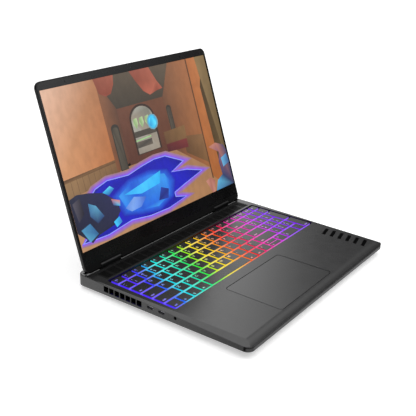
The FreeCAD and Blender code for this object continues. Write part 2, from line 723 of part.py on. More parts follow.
def fin_stacks():
    """Two rows of thin fins in front of the rear vents, each under a flat plate."""
    low, high = FIN_Z0, BOARD_Z + BOARD_T + CHIP_T
    plate = box(FIN_X0, FIN_X1, FIN_Y0, FIN_Y1, high - 0.5, high)
    count = int((FIN_X1 - FIN_X0) / FIN_PITCH)
    fins = [box(FIN_X0 + i * FIN_PITCH, FIN_X0 + i * FIN_PITCH + 0.5, FIN_Y0, FIN_Y1, low, high)
            for i in range(count + 1)]
    stack = fuse([plate] + fins)
    return group([stack, mirror_x(stack)])


def fan_housing(side):
    half = FAN_HOUSING / 2
    x = side * FAN_X
    body = rounded(x - half, x + half, FAN_Y - half, FAN_Y + half, FAN_Z0, FAN_Z1, 6.0)
    room = rod_z(x, FAN_Y, FAN_Z0 + FAN_SKIN, FAN_Z1 - FAN_SKIN, FAN_R + 1.2)
    outlet = box(x - FAN_R, x + FAN_R, FAN_Y, FAN_Y + half + 1, FAN_Z0 + FAN_SKIN, FAN_Z1 - FAN_SKIN)
    intakes = rod_z(x, FAN_Y, FAN_Z0 - 1, FAN_Z1 + 1, FAN_INTAKE_R)
    spider = box(x - 1.5, x + 1.5, FAN_Y - FAN_INTAKE_R - 2, FAN_Y + FAN_INTAKE_R + 2,
                 FAN_Z0, FAN_Z0 + FAN_SKIN)
    cross = box(x - FAN_INTAKE_R - 2, x + FAN_INTAKE_R + 2, FAN_Y - 1.5, FAN_Y + 1.5,
                FAN_Z0, FAN_Z0 + FAN_SKIN)
    axle = rod_z(x, FAN_Y, FAN_Z0, FAN_Z1 - FAN_SKIN - 0.9, FAN_AXLE_R)
    return fuse([body.cut([room, outlet, intakes]), spider, cross, axle])


def fan(side):
    """An impeller: hub on the fixed axle, with swept blades."""
    x = side * FAN_X
    low, high = FAN_Z0 + FAN_SKIN + 0.5, FAN_Z1 - FAN_SKIN - 0.4
    hub = rod_z(x, FAN_Y, low, high, FAN_HUB_R)
    blade = box(FAN_HUB_R - 0.5, FAN_R, -0.4, 0.4, low, high)
    blade.rotate(V(FAN_HUB_R, 0, 0), V(0, 0, 1), side * 12)
    blades = []
    for i in range(FAN_BLADES):
        turned = blade.copy()
        turned.rotate(V(0, 0, 0), V(0, 0, 1), 360 * i / FAN_BLADES)
        turned.translate(V(x, FAN_Y, 0))
        blades.append(turned)
    wheel = fuse([hub] + blades)
    return wheel.cut(rod_z(x, FAN_Y, low - 1, high - 0.3, FAN_AXLE_R + SHAFT_CLEARANCE))


def battery_frame():
    tray = box(-122, 122, 15, 91, BATTERY_Z, BATTERY_Z + 8.0)
    pockets = [box(-119 + i * 40, -81 + i * 40, 18, 88, BATTERY_Z + 0.8, BATTERY_Z + 9)
               for i in range(6)]
    return tray.cut(pockets)


def battery_cells():
    low = BATTERY_Z + 0.8
    return group([rounded(-118.8 + i * 40, -81.2 + i * 40, 18.2, 87.8, low, low + 7.0, 2.0)
                  for i in range(6)])


def speaker(side):
    x0, x1 = sorted((side * 127, side * 159))
    body = rounded(x0, x1, 24, 84, BATTERY_Z, 15.0, 3.0)
    cone = rod_z((x0 + x1) / 2, 40, 13.5, 16, 11)
    ring = rod_z((x0 + x1) / 2, 40, 13.5, 14.4, 4)
    return fuse([body.cut(cone), ring])


def ssd():
    top = BOARD_Z + BOARD_T
    card = box(-150, -70, 112, 134, top + 1.2, top + 2.0)
    chips = [box(x, x + 14, 115, 131, top + 2.0, top + 3.2) for x in (-145, -126, -107)]
    socket = box(-70, -66, 112, 134, top, top + 3.0)
    post = rod_z(-148, 123, top, top + 1.2, 2.0)
    return fuse([card, socket, post] + chips)


def memory_modules():
    top = BOARD_Z + BOARD_T
    modules = []
    for y in (108, 137):
        socket = box(72, 142, y, y + 4, top, top + 3.4)
        card = box(73, 141, y + 4, y + 26, top + 1.4, top + 2.4)
        prop = box(104, 110, y + 24, y + 26, top, top + 1.4)
        modules.append(fuse([socket, card, prop]))
    return group(modules)


def wifi_card():
    top = BOARD_Z + BOARD_T
    socket = box(-50, -28, 112, 115, top, top + 2.6)
    card = box(-50, -28, 115, 142, top, top + 2.0)
    return fuse([socket, card])


# ---- Ports ----

def usb_c_ports():
    """Oval shells with a thin tongue, behind the left wall."""
    depth = 6.8
    x0 = -WIDTH / 2 + 0.8
    ports = []
    for y in USB_C_Y:
        z = DECK_Z - PORT_DROP
        plain = box(x0, x0 + depth, y - 4.9, y + 4.9, z - 2.0, z + 2.0)
        shell = plain.makeFillet(1.8, parallel_edges(plain, V(1, 0, 0)))
        room = box(x0 - 1, x0 + depth - 1, y - 4.3, y + 4.3, z - 1.4, z + 1.4)
        shell = shell.cut(room.makeFillet(1.2, parallel_edges(room, V(1, 0, 0))))
        tongue = box(x0 + 1.2, x0 + depth - 0.5, y - 3.2, y + 3.2, z - 0.35, z + 0.35)
        ports.append(fuse([shell, tongue]))
    return group(ports)


def audio_jack():
    x0 = -WIDTH / 2 + 0.6
    z = DECK_Z - PORT_DROP
    nose = rod_x(x0, x0 + 3, JACK_Y, z, JACK_R + 0.4)
    body = box(x0 + WALL, x0 + 14, JACK_Y - 3.0, JACK_Y + 3.0, z - 2.6, z + 2.6)
    return fuse([nose, body]).cut(rod_x(x0 - 1, x0 + 13, JACK_Y, z, JACK_R))


def usb_a_ports():
    depth = 13.5
    x1 = WIDTH / 2 - 0.8
    ports = []
    for y in USB_A_Y:
        shell = box(x1 - depth, x1, y - 6.9, y + 6.9, USB_A_Z - 3.1, USB_A_Z + 3.1)
        room = box(x1 - depth + 1, x1 + 1, y - 6.25, y + 6.25, USB_A_Z - 2.55, USB_A_Z + 2.55)
        tongue = box(x1 - depth + 0.5, x1 - 1.0, y - 5.6, y + 5.6, USB_A_Z + 0.1, USB_A_Z + 1.9)
        ports.append(fuse([shell.cut(room), tongue]))
    return group(ports)


def rear_shell(x, width, z0, z1, depth):
    y1 = REAR_Y - 0.8
    return box(x - width / 2, x + width / 2, y1 - depth, y1, z0, z1)


def network_port():
    depth = 14.0
    z0, z1 = REAR_PORT_Z - 4.5, REAR_PORT_Z + 4.9
    y1 = REAR_Y - 0.8
    shell = rear_shell(NETWORK_X, 14.0, z0, z1, depth)
    room = box(NETWORK_X - 5.9, NETWORK_X + 5.9, y1 - depth + 1.5, y1 + 1, z0 + 0.9, z1 - 0.9)
    return shell.cut(room)


def video_port():
    depth = 11.0
    y1 = REAR_Y - 0.8
    z = REAR_PORT_Z + 0.3
    shell = rear_shell(VIDEO_X, 15.2, z - 2.8, z + 2.8, depth)
    room = box(VIDEO_X - 7.0, VIDEO_X + 7.0, y1 - depth + 1, y1 + 1, z - 2.3, z + 2.3)
    tongue = box(VIDEO_X - 5.5, VIDEO_X + 5.5, y1 - depth + 0.5, y1 - 1, z - 0.5, z + 0.5)
    return fuse([shell.cut(room), tongue])


def power_inlet():
    depth = 13.0
    y1 = REAR_Y - 0.8
    z = REAR_PORT_Z + 0.3
    shell = rear_shell(INLET_X, 8.4, z - 4.1, z + 4.1, depth)
    room = rod_y(INLET_X, y1 - depth + 1.5, y1 + 1, z, 3.4)
    pin = rod_y(INLET_X, y1 - depth + 1, y1 - 2, z, 0.6)
    return fuse([shell.cut(room), pin])


def both_sides(name, make):
    return {name + "_left": make(-1), name + "_right": make(1)}


def all_parts():
    parts = {
        "top_case": top_case(), "bottom_cover": bottom_cover(), "feet": feet(),
        "case_screws": case_screws(), "rear_grille": rear_grille(),
        "palm_inlay": group(inlay_bars(DECK_Z - 0.4, DECK_Z)),
        "touchpad": touchpad(), "touchpad_frame": touchpad_frame(),
        "lid_cover": lid_cover(), "screen_bezel": screen_bezel(), "hinge_cover": hinge_cover(),
        "lcd_panel": lcd_panel(), "backlight_unit": backlight_unit(),
        "camera_module": camera_module(), "microphones": microphones(),
        "wifi_antennas": wifi_antennas(), "lid_bumpers": lid_bumpers(),
        "display_cable": display_cable(),
        "motherboard": motherboard(), "processors": processors(), "heat_pipes": heat_pipes(),
        "fin_stacks": fin_stacks(), "battery_frame": battery_frame(),
        "battery_cells": battery_cells(), "ssd": ssd(), "memory_modules": memory_modules(),
        "wifi_card": wifi_card(), "usb_c_ports": usb_c_ports(), "audio_jack": audio_jack(),
        "usb_a_ports": usb_a_ports(), "network_port": network_port(), "video_port": video_port(),
        "power_inlet": power_inlet(),
    }
    parts.update(keyboard_parts())
    parts.update(both_sides("hinge_knuckle", hinge_knuckle))
    parts.update(both_sides("hinge_shaft", hinge_shaft))
    parts.update(both_sides("lid_hinge_bracket", lid_hinge_bracket))
    parts.update(both_sides("fan_housing", fan_housing))
    parts.update(both_sides("fan", fan))
    parts.update(both_sides("speaker", speaker))
    return parts


def export(name, shape):
    placed = shape.copy()
    placed.translate(V(0, -ORIGIN_Y, 0))
    placed.exportStep("parts/" + name + ".step")


os.makedirs("parts", exist_ok=True)
for part_name, part_shape in all_parts().items():
    export(part_name, part_shape)
print("origin is", round(ORIGIN_Y, 3), "mm behind the front edge; hinge height", HINGE_Z)
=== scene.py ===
import json
import math
import bmesh
import bpy
from mathutils import Matrix, Vector


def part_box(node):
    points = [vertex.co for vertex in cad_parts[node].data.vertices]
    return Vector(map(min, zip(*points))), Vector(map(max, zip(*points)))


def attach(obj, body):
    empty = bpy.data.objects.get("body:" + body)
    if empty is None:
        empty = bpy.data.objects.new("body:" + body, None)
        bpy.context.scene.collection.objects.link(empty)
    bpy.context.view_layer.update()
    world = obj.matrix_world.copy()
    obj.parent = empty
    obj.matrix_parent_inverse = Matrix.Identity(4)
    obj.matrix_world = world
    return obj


# A gaming laptop on a white studio floor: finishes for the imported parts, keycap legends,
# the keyboard's rainbow light and the picture on the screen. Everything is in metres.

MM = 0.001

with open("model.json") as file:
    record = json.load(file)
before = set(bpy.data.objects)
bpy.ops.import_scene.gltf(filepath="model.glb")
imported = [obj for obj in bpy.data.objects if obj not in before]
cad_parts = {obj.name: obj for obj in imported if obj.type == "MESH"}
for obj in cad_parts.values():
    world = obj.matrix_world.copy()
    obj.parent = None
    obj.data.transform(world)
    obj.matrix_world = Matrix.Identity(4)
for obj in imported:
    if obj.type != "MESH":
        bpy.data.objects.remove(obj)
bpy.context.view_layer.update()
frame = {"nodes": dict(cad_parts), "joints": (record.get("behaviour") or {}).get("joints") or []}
nodes = frame["nodes"]
case_low, case_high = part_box("top_case")
FRONT_LIP = 2.9 * MM             # from the front edge back to the datum of the deck's layout
FRONT = case_low.y + FRONT_LIP
DECK = case_high.z

# Camera
AZIMUTH, ELEVATION, ROLL = (math.radians(angle) for angle in (-54.05, 19.1, 1.63))
DISTANCE = 1.370
AIM = Vector((276.6 * MM, FRONT + 391.5 * MM, DECK))
LENS = 63.1
SHIFT_Y = -0.1

# The open lid. v runs up it from the picture's lower edge and w runs back from the bezel.
LID_TILT = math.radians(71.3)
HINGE = Vector(next(j["pos_m"] for j in frame["joints"] if j["name"] == "lid_hinge"))
HINGE_V = -25.37 * MM
HINGE_W = 2.7 * MM
SCREEN_W = 344.7 * MM
SCREEN_H = 215.4 * MM
TROUGH_X, TROUGH_R = 175.1 * MM, 5.7 * MM
PANEL_W = 0.8 * MM              # front of the panel
LAYER = 0.02 * MM               # from one layer of the picture to the next

# Keyboard light: colours from left to right along the function row, slanting to the front
LIGHT_SLANT = 0.33
LIGHT_ROW = FRONT + 213 * MM
LIGHT_X0, LIGHT_X1 = -170 * MM, 170 * MM
LIGHT_STOPS = [(-162, "4e2cff"), (-138, "5830ff"), (-126, "3a3cff"), (-114, "2a6cf8"),
               (-102, "20d8f0"), (-90, "22ecea"), (-66, "20e8b0"), (-54, "22ee78"),
               (-42, "3ef020"), (-30, "b0f01e"), (-18, "fff028"), (6, "ffcc20"), (18, "ffa020"),
               (30, "ff7420"), (42, "ff4c18"), (54, "f8283a"), (66, "f41c5c"), (78, "f02090"),
               (102, "ea30c8"), (126, "d030f4"), (138, "a828ff"), (162, "8a28ff")]
# The light stops behind the last row of keys and to the right of the last column.
LIT_LOW = Vector((-180 * MM, FRONT, 0))
LIT_HIGH = Vector((165.4 * MM, FRONT + 219.2 * MM, DECK + 1 * MM))
GUIDE_GLOW, KEY_GLOW, LEGEND_GLOW = 0.8, 0.9, 0.85
GUIDE_PALE, KEY_PALE, LEGEND_PALE = 0.05, 0.11, 0.18
PALE_UNEVEN = 0.05
WHITE = (1.0, 1.0, 1.0)
PRINT_LIFT = 0.03 * MM           # height of printed marks above the surface under them

# Parts of the metal with painted shade, dull black: the trough the lid turns in, the groove in
# the front wall, and the lid's lower rim
TROUGH_TOP = DECK - 0.2 * MM
GROOVE_LOW, GROOVE_HIGH = DECK - 6.45 * MM, DECK - 5.35 * MM
GROOVE_DEEP = 7 * MM
LID_RIM_TOP = HINGE.z - 1 * MM
# colour and specular level of the painted shade
SHADE_COLOUR, SHADE_SPECULAR = "020202", 0.05

NOISE_LOW, NOISE_HIGH = 0.35, 0.65   # where most of a noise texture's values lie
SUM_LOW, SUM_HIGH = 0.75, 1.25       # and most of the sums of two
BUMP_STRENGTH = 0.6
CAP_SIDE, CAP_TOP = 0.2, 0.6         # the normal's z on a keycap's sides and on its top
CAP_FRONT, CAP_FLANK = -0.8, -0.3    # the normal's y on its front and on its other sides
GLOW_PATCH = 6 * MM
STROKE_SIZE, STROKE_DETAIL = 9 * MM, 5.0
STROKE_DARK, STROKE_PALE = 0.93, 1.07
MIX_FIRST, MIX_SECOND, MIX_RESULT = 6, 7, 2    # a Mix node's colour sockets


def rgb(code):
    """Linear colour of a six-digit hex code, by the sRGB formula."""
    parts = [int(code[i:i + 2], 16) / 255 for i in (0, 2, 4)]
    return tuple(c / 12.92 if c <= 0.04045 else ((c + 0.055) / 1.055) ** 2.4 for c in parts)


def on_lid(x, v, w):
    """A point given on the lid, in the scene's frame."""
    up, back = v - HINGE_V, HINGE_W - w
    y = up * math.cos(LID_TILT) - back * math.sin(LID_TILT)
    z = up * math.sin(LID_TILT) + back * math.cos(LID_TILT)
    return Vector((x, HINGE.y + y, HINGE.z + z))


# ---- Materials ----

def new_material(name):
    """A node material, its tree and its main shader."""
    material = bpy.data.materials.new(name)
    material.use_nodes = True
    tree = material.node_tree
    return material, tree, tree.nodes["Principled BSDF"]


def add(tree, kind, settings=(), inputs=(), links=()):
    """Adds a node, with its settings, its constant inputs and its linked inputs."""
    made = tree.nodes.new(kind)
    for key, value in dict(settings).items():
        setattr(made, key, value)
    for key, value in dict(inputs).items():
        made.inputs[key].default_value = value
    for key, socket in dict(links).items():
        tree.links.new(socket, made.inputs[key])
    return made


def object_coords(tree, stretch=(1, 1, 1)):
    """The piece's own coordinates, so a finish stays on it as it moves."""
    coords = add(tree, "ShaderNodeTexCoord").outputs["Object"]
    if stretch == (1, 1, 1):
        return coords
    scaled = add(tree, "ShaderNodeMapping", inputs={"Scale": stretch}, links={"Vector": coords})
    return scaled.outputs["Vector"]


def maths(tree, operation, *values):
    """An arithmetic node's result. Each value is a socket or a number."""
    made = add(tree, "ShaderNodeMath", settings={"operation": operation})
    for socket, value in zip(made.inputs, values):
        if isinstance(value, (int, float)):
            socket.default_value = value
        else:
            tree.links.new(value, socket)
    return made.outputs[0]


def vector_maths(tree, operation, first, second=None):
    """A vector arithmetic node, with a constant second value if one is given."""
    made = add(tree, "ShaderNodeVectorMath", settings={"operation": operation}, links={0: first})
    if second is not None:
        made.inputs[1].default_value = second
    return made


def noise(tree, coords, size, detail=3.0):
    """Noise whose blotches are about size metres across."""
    made = add(tree, "ShaderNodeTexNoise", inputs={"Scale": 1 / size, "Detail": detail},
               links={"Vector": coords})
    return made.outputs["Fac"]


def spread(tree, value, low, high, start=NOISE_LOW, end=NOISE_HIGH):
    """Maps a value from start..end to low..high."""
    made = add(tree, "ShaderNodeMapRange", inputs={"From Min": start, "From Max": end,
               "To Min": low, "To Max": high}, links={"Value": value})
    return made.outputs["Result"]


def mix_colour(tree, factor, first, second):
    """Mixes two colours, each a socket or a linear colour."""
    made = add(tree, "ShaderNodeMix", settings={"data_type": "RGBA"}, links={"Factor": factor})
    for index, colour in ((MIX_FIRST, first), (MIX_SECOND, second)):
        socket = made.inputs[index]
        if isinstance(colour, tuple):
            socket.default_value = (*colour, 1)
        else:
            tree.links.new(colour, socket)
    return made.outputs[MIX_RESULT]


def surface(name, code, roughness, grain=0.4, depth=0.012, mottle=0.2, metallic=0.0,
            stretch=(1, 1, 1), patch=25.0, uneven=0.05, specular=0.5):
    """A finish with fine grain, patches of slightly other colour, and uneven gloss.
    grain, depth and patch are in millimetres."""
    material, tree, shader = new_material(name)
    coords = object_coords(tree, stretch)
    fine = noise(tree, coords, grain * MM)
    broad = noise(tree, object_coords(tree), patch * MM, 2.0)
    both = maths(tree, "ADD", fine, broad)
    colour = rgb(code)
    dark = tuple(c * (1 - mottle) for c in colour)
    light = tuple(c * (1 + mottle) for c in colour)
    factor = spread(tree, both, 0, 1, SUM_LOW, SUM_HIGH)
    tree.links.new(mix_colour(tree, factor, dark, light), shader.inputs["Base Color"])
    gloss = spread(tree, broad, roughness - uneven, roughness + uneven)
    tree.links.new(gloss, shader.inputs["Roughness"])
    shader.inputs["Metallic"].default_value = metallic
    shader.inputs["Specular IOR Level"].default_value = specular
    bump = add(tree, "ShaderNodeBump", links={"Height": fine},
               inputs={"Strength": BUMP_STRENGTH, "Distance": depth * MM})
    tree.links.new(bump.outputs["Normal"], shader.inputs["Normal"])
    return material


def rainbow(tree):
    """The keyboard light's colour at a point, saturated."""
    axes = add(tree, "ShaderNodeSeparateXYZ", links={"Vector": object_coords(tree)}).outputs
    slant = maths(tree, "MULTIPLY_ADD", axes["Y"], -LIGHT_SLANT, LIGHT_SLANT * LIGHT_ROW)
    along = maths(tree, "ADD", axes["X"], slant)
    place = spread(tree, along, 0, 1, LIGHT_X0, LIGHT_X1)
    ramp = add(tree, "ShaderNodeValToRGB", links={"Fac": place})
    stops = ramp.color_ramp.elements
    for i, (x, code) in enumerate(LIGHT_STOPS):
        position = (x * MM - LIGHT_X0) / (LIGHT_X1 - LIGHT_X0)
        stop = stops[i] if i < 2 else stops.new(position)
        stop.position = position
        stop.color = (*rgb(code), 1)
    return ramp.outputs["Color"]


def in_box(tree, low, high):
    """1 inside a box and 0 outside it."""
    offset = vector_maths(tree, "SUBTRACT", object_coords(tree), (low + high) / 2)
    distance = vector_maths(tree, "ABSOLUTE", offset.outputs[0])
    reach = vector_maths(tree, "DIVIDE", distance.outputs[0], (high - low) / 2)
    axes = add(tree, "ShaderNodeSeparateXYZ", links={"Vector": reach.outputs[0]}).outputs
    level = maths(tree, "MAXIMUM", axes["X"], axes["Y"])
    most = maths(tree, "MAXIMUM", level, axes["Z"])
    return maths(tree, "LESS_THAN", most, 1.0)


def lit(tree, strength):
    """A light's strength, 0 outside the lit box."""
    return spread(tree, in_box(tree, LIT_LOW, LIT_HIGH), 0, strength, 0, 1)


def paint_shade(material, low, high):
    """Paints shade, dull black, into the part of a finish that lies in a box."""
    tree = material.node_tree
    shader = tree.nodes["Principled BSDF"]
    inside = in_box(tree, low, high)
    colour = shader.inputs["Base Color"].links[0].from_socket
    tree.links.new(mix_colour(tree, inside, colour, rgb(SHADE_COLOUR)), shader.inputs["Base Color"])
    specular = shader.inputs["Specular IOR Level"]
    tree.links.new(spread(tree, inside, specular.default_value, SHADE_SPECULAR, 0, 1), specular)
    metallic = shader.inputs["Metallic"]
    tree.links.new(spread(tree, inside, metallic.default_value, 0, 0, 1), metallic)


def keycap_material():
    """Dark satin tops, with the light showing through the caps' sides."""
    material = surface("keycap", "0a0a0b", 0.28, grain=0.3, depth=0.004, mottle=0.25, uneven=0.02,
                       specular=0.55)
    tree = material.node_tree
    shader = tree.nodes["Principled BSDF"]
    normal = add(tree, "ShaderNodeTexCoord").outputs["Normal"]
    axes = add(tree, "ShaderNodeSeparateXYZ", links={"Vector": normal}).outputs
    side = spread(tree, axes["Z"], 1, 0, CAP_SIDE, CAP_TOP)
    front = spread(tree, axes["Y"], 1, 0, CAP_FRONT, CAP_FLANK)
    pale = maths(tree, "MULTIPLY", front, KEY_PALE)
    tree.links.new(mix_colour(tree, pale, rainbow(tree), WHITE), shader.inputs["Emission Color"])
    glow = maths(tree, "MULTIPLY", side, lit(tree, KEY_GLOW))
    tree.links.new(glow, shader.inputs["Emission Strength"])
    return material


def glow_material(name, pale, strength):
    """A lit surface in the keyboard light's colours, made paler."""
    material = surface(name, "404048", 0.3)
    tree = material.node_tree
    shader = tree.nodes["Principled BSDF"]
    patches = noise(tree, object_coords(tree), GLOW_PATCH)
    factor = spread(tree, patches, pale - PALE_UNEVEN, pale + PALE_UNEVEN)
    tree.links.new(mix_colour(tree, factor, rainbow(tree), WHITE), shader.inputs["Emission Color"])
    tree.links.new(lit(tree, strength), shader.inputs["Emission Strength"])
    return material


def picture_material():
    """The lit screen: the mesh's own colours with a little painted unevenness."""
    material, tree, shader = new_material("screen_picture")
    paint = add(tree, "ShaderNodeVertexColor", settings={"layer_name": "paint"})
    strokes = noise(tree, object_coords(tree, (1, 1, 0.5)), STROKE_SIZE, STROKE_DETAIL)
    shade = spread(tree, strokes, STROKE_DARK, STROKE_PALE)
    scaled = add(tree, "ShaderNodeVectorMath", settings={"operation": "SCALE"},
                 links={0: paint.outputs["Color"], "Scale": shade})
    tree.links.new(scaled.outputs[0], shader.inputs["Emission Color"])
    shader.inputs["Emission Strength"].default_value = 1.0
    shader.inputs["Base Color"].default_value = (0.01, 0.01, 0.012, 1)
    shader.inputs["Roughness"].default_value = 0.35
    return material


def assign(material, *names):
    """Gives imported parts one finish."""
    for name in names:
        slots = nodes[name].data.materials
        slots.clear()
        slots.append(material)


def make_object(name, mesh, material):
    """A new object in the scene, made from a bmesh, which it frees."""
    data = bpy.data.meshes.new(name)
    mesh.to_mesh(data)
    mesh.free()
    data.materials.append(material)
    made = bpy.data.objects.new(name, data)
    bpy.context.scene.collection.objects.link(made)
    return made


# Finish, colour, roughness, the rest of its look, and the parts that have it
METAL = dict(grain=0.45, depth=0.005, mottle=0.3, metallic=0.2, uneven=0.015, patch=8.0)
FINISHES = [
    ("coated_glass", "151516", 0.22, dict(grain=0.25, depth=0.003, mottle=0.12, metallic=0.2,
                                          uneven=0.01, specular=0.8), ["touchpad"]),
    ("case_plastic", "0b0b0c", 0.40, dict(grain=0.5, depth=0.02, mottle=0.25), ["bottom_cover"]),
    ("grille_plastic", "040404", 0.5, dict(grain=0.5, depth=0.01, mottle=0.3, specular=0.15),
     ["hinge_cover", "rear_grille"]),
    ("bezel_plastic", "020203", 0.26, dict(grain=0.35, depth=0.004, mottle=0.3, uneven=0.02),
     ["screen_bezel", "lid_bumpers"]),
    ("knuckle_metal", "121213", 0.36, dict(grain=0.3, depth=0.006, metallic=0.4),
     ["hinge_knuckle_left", "hinge_knuckle_right"]),
    ("black_inlay", "010101", 0.9, dict(grain=0.6, depth=0.002, mottle=0.4, specular=0.04),
     ["palm_inlay", "touchpad_frame"]),
    ("foot_rubber", "161616", 0.75, dict(grain=0.7, depth=0.05, mottle=0.3), ["feet"]),
    ("dome_silicone", "b0b0b6", 0.45, dict(grain=0.8, depth=0.02), ["key_domes"]),
    ("screen_glass", "08080a", 0.3, dict(grain=0.2, depth=0.002), ["lcd_panel"]),
    ("diffuser_film", "d8d8d8", 0.6, dict(grain=1.0), ["backlight_unit"]),
    ("rolled_steel", "a8a8ac", 0.35, dict(grain=0.2, metallic=1.0, stretch=(0.05, 1, 1)),
     ["keyboard_plate", "hinge_shaft_left", "hinge_shaft_right", "lid_hinge_bracket_left",
      "lid_hinge_bracket_right"]),
    ("black_screws", "3a3a3e", 0.35, dict(grain=0.2, metallic=1.0), ["case_screws"]),
    ("nickel_plate", "8a8a90", 0.3, dict(grain=0.3, metallic=1.0, stretch=(1, 0.1, 1)),
     ["usb_c_ports", "usb_a_ports", "network_port", "video_port"]),
    ("port_plastic", "141415", 0.5, dict(), ["audio_jack", "power_inlet"]),
    ("solder_mask", "0d3a28", 0.35, dict(grain=1.2, depth=0.01, mottle=0.5, patch=6.0),
     ["motherboard", "ssd", "memory_modules", "wifi_card"]),
    ("chip_package", "303236", 0.3, dict(grain=0.5, metallic=0.3),
     ["processors", "camera_module", "microphones"]),
    ("bare_copper", "c8794f", 0.32, dict(grain=0.3, metallic=1.0, mottle=0.25,
                                         stretch=(0.1, 1, 1)), ["heat_pipes"]),
    ("fin_metal", "b4b4b8", 0.35, dict(grain=0.3, metallic=1.0, stretch=(1, 1, 0.1)),
     ["fin_stacks"]),
    ("fan_plastic", "121213", 0.45, dict(grain=0.6),
     ["fan_left", "fan_right", "fan_housing_left", "fan_housing_right"]),
    ("battery_plastic", "17171a", 0.5, dict(grain=0.5),
     ["battery_frame", "speaker_left", "speaker_right"]),
    ("foil_pouch", "6a6a70", 0.35, dict(grain=2.0, depth=0.05, metallic=1.0), ["battery_cells"]),
    ("ribbon_cable", "5a4820", 0.5, dict(grain=0.8, stretch=(1, 0.1, 0.1)), ["display_cable"]),
    ("antenna_foil", "a06a48", 0.35, dict(grain=0.5, metallic=1.0), ["wifi_antennas"])]
KEY_ENDINGS = ("_keys", "_key", "space_bar")


def finish_shells():
    """Sandblasted case and lid; painted shade, black, in the trough, groove and lid's lower rim.
    """
    deck = surface("sandblasted_metal", "141415", 0.24, specular=0.75, **METAL)
    # painted shade in the trough under the hinge
    paint_shade(deck, Vector((-TROUGH_X, HINGE.y - TROUGH_R, DECK - TROUGH_R)),
            Vector((TROUGH_X, HINGE.y + TROUGH_R, TROUGH_TOP)))
    # painted shade in the groove of the front wall
    paint_shade(deck, Vector((case_low.x, case_low.y, GROOVE_LOW)),
            Vector((case_high.x, case_low.y + GROOVE_DEEP, GROOVE_HIGH)))
    assign(deck, "top_case")
    lid = surface("lid_metal", "101011", 0.34, specular=0.4, **METAL)
    # painted shade on the lid's lower rim, down in the trough
    paint_shade(lid, Vector((case_low.x, HINGE.y - TROUGH_R, 0)),
            Vector((case_high.x, HINGE.y + TROUGH_R, LID_RIM_TOP)))
    assign(lid, "lid_cover")


def finish_parts():
    """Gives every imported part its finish."""
    finish_shells()
    for name, code, roughness, look, parts in FINISHES:
        assign(surface(name, code, roughness, **look), *parts)
    assign(keycap_material(), *[n for n in nodes if n.endswith(KEY_ENDINGS)])
    assign(glow_material("light_guide_glow", GUIDE_PALE, GUIDE_GLOW), "light_guide")


# ---- Painted shade in the touchpad seam ----

SEAM_IN, SEAM_OUT = 0.1 * MM, 0.7 * MM    # how far it lies over and beyond the pad's edge
PAD_R = 4.4 * MM
ARC_STEPS = 8


def rounded_outline(low, high, r, z):
    """Corner arcs of a level rounded rectangle."""
    points = []
    centres = ((high.x - r, high.y - r), (low.x + r, high.y - r),
               (low.x + r, low.y + r), (high.x - r, low.y + r))
    for k, (x, y) in enumerate(centres):
        for i in range(ARC_STEPS + 1):
            turn = math.pi / 2 * (k + i / ARC_STEPS)
            points.append((x + r * math.cos(turn), y + r * math.sin(turn), z))
    return points


def paint_gap_shade(material):
    """A dark flat ring over the gap round the touchpad: painted shade in the gap."""
    low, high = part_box("touchpad")
    diagonal = Vector((1, 1, 0))
    inner = rounded_outline(low + diagonal * SEAM_IN, high - diagonal * SEAM_IN, PAD_R,
                            DECK + PRINT_LIFT)
    outer = rounded_outline(low - diagonal * SEAM_OUT, high + diagonal * SEAM_OUT,
                            PAD_R + SEAM_IN + SEAM_OUT, DECK + PRINT_LIFT)
    mesh = bmesh.new()
    rings = [[mesh.verts.new(p) for p in points] for points in (inner, outer)]
    count = len(inner)
    for i in range(count):
        n = (i + 1) % count
        mesh.faces.new((rings[0][i], rings[1][i], rings[1][n], rings[0][n]))
    piece = make_object("touchpad_gap_shade", mesh, material)
    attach(piece, "base")


# ---- Keycap legends ----

LEGENDS = {
    "function_keys": ["esc"] + [f"f{i}" for i in range(1, 13)] + ["del", "home", "end", "pg up"],
    "power_key": ["o"],
    "number_keys": list("`1234567890-="),
    "backspace_key": ["back"],
    "upper_letter_keys": ["tab"] + list("QWERTYUIOP[]\\"),
    "home_letter_keys": ["caps"] + list("ASDFGHJKL;'"),
    "enter_key": ["enter"],
    "lower_letter_keys": ["shift"] + list("ZXCVBNM,./") + ["shift"],
    "bottom_keys": ["ctrl", "fn", "[]", "alt", "alt", "ctrl"],
    "arrow_keys": ["<", "v", ">", "^"],
    "number_pad_keys": ["0", ".", "enter"] + list("123") + list("456+") + list("789")
                       + ["num"] + list("/*-"),
}
UPPER_SIGNS = dict(zip("`1234567890-=", "~!@#$%^&*()_+"))
LETTER_SIZE = 6.0 * MM
WORD_SIZE = 3.7 * MM
SIGN_SIZE = 4.2 * MM
LETTER_WEIGHT = 0.16 * MM
SHALLOW_KEY = 14 * MM                     # keys less deep than this have their word on top
LEGEND_LEFT, LEGEND_TOP = 2.2 * MM, 2.0 * MM
LETTER_DROP = 5.4 * MM                    # from the sign down to the digit
WORD_DROP, MARK_DROP = 0.6 * MM, 4.2 * MM  # of a shallow key's word and mark
WORD_HEIGHT = 5.5 * MM                    # top of a word above a deep key's front edge
ROW_STEP = 5 * MM
JOIN = 0.01 * MM


def keycap_boxes(name):
    """Each keycap's lowest and highest corner, row by row from the front, left to right."""
    mesh = bmesh.new()
    mesh.from_mesh(nodes[name].data)
    bmesh.ops.remove_doubles(mesh, verts=mesh.verts, dist=JOIN)
    unseen = set(mesh.verts)
    boxes = []
    while unseen:
        stack = [unseen.pop()]
        points = []
        while stack:
            vert = stack.pop()
            points.append(vert.co.copy())
            for edge in vert.link_edges:
                other = edge.other_vert(vert)
                if other in unseen:
                    unseen.remove(other)
                    stack.append(other)
        low = Vector([min(p[i] for p in points) for i in range(3)])
        high = Vector([max(p[i] for p in points) for i in range(3)])
        boxes.append((low, high))
    mesh.free()
    return sorted(boxes, key=lambda b: (round(b[0].y / ROW_STEP), b[0].x))


